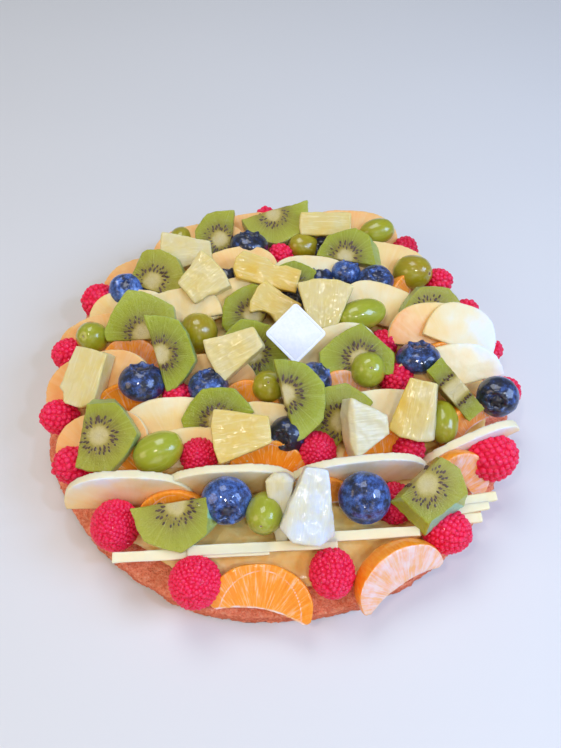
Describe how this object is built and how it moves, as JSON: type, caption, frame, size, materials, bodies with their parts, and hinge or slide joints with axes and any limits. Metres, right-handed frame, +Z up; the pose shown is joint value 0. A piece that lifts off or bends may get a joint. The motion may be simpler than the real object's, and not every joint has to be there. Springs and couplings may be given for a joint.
{
  "type": "fruit tart",
  "caption": "Round fruit tart: a thin cake base spread with pastry cream and heaped with cut fruit and berries, with a small blank diamond plaque.",
  "frame": {"origin": "centre of the cake base's underside", "axes": "+Z up through the middle of the tart, -Y towards the front, the side the plaque is read from, +X to the right seen from the front"},
  "size_m": [0.24, 0.2434, 0.0553],
  "materials": {
    "base": "browned, crumbly cake",
    "cream": "smooth pastry cream",
    "plaque": "plain white plaque",
    "apple": "pale cut apple under clear glaze",
    "pineapple": "pale yellow fibrous flesh under clear glaze",
    "kiwi": "green flesh with a pale core and dark seeds under clear glaze",
    "grape": "smooth green skin under clear glaze",
    "blueberry": "dark blue skin with a pale bloom under clear glaze",
    "raspberry": "bumpy red drupelets under clear glaze",
    "mandarin": "orange flesh with white pith under clear glaze"
  },
  "bodies": {
    "root": {"tart_base": "base", "cream": "cream", "plaque": "plaque", "apple_row_front": "apple", "apple_row_middle": "apple", "blueberry_01": "blueberry", "blueberry_02": "blueberry", "blueberry_03": "blueberry", "blueberry_04": "blueberry", "blueberry_05": "blueberry", "blueberry_06": "blueberry", "blueberry_07": "blueberry", "blueberry_08": "blueberry", "blueberry_09": "blueberry", "raspberry_01": "raspberry", "raspberry_02": "raspberry", "raspberry_03": "raspberry", "raspberry_04": "raspberry", "raspberry_05": "raspberry", "raspberry_06": "raspberry", "raspberry_07": "raspberry", "grape_01": "grape", "grape_02": "grape", "grape_03": "grape", "grape_04": "grape", "grape_05": "grape", "grape_06": "grape", "grape_07": "grape", "kiwi_01": "kiwi", "kiwi_02": "kiwi", "kiwi_03": "kiwi", "kiwi_04": "kiwi", "kiwi_05": "kiwi", "kiwi_06": "kiwi", "kiwi_07": "kiwi", "kiwi_08": "kiwi", "kiwi_09": "kiwi", "kiwi_10": "kiwi", "kiwi_11": "kiwi", "pineapple_01": "pineapple", "pineapple_02": "pineapple", "pineapple_03": "pineapple", "pineapple_04": "pineapple", "pineapple_05": "pineapple", "pineapple_06": "pineapple", "pineapple_07": "pineapple", "pineapple_08": "pineapple", "pineapple_09": "pineapple", "pineapple_10": "pineapple", "pineapple_11": "pineapple", "mandarin_01": "mandarin", "mandarin_02": "mandarin", "apple_01": "apple", "apple_02": "apple", "apple_03": "apple", "apple_04": "apple", "apple_05": "apple", "apple_06": "apple", "apple_07": "apple", "apple_08": "apple"}
  },
  "joints": []
}
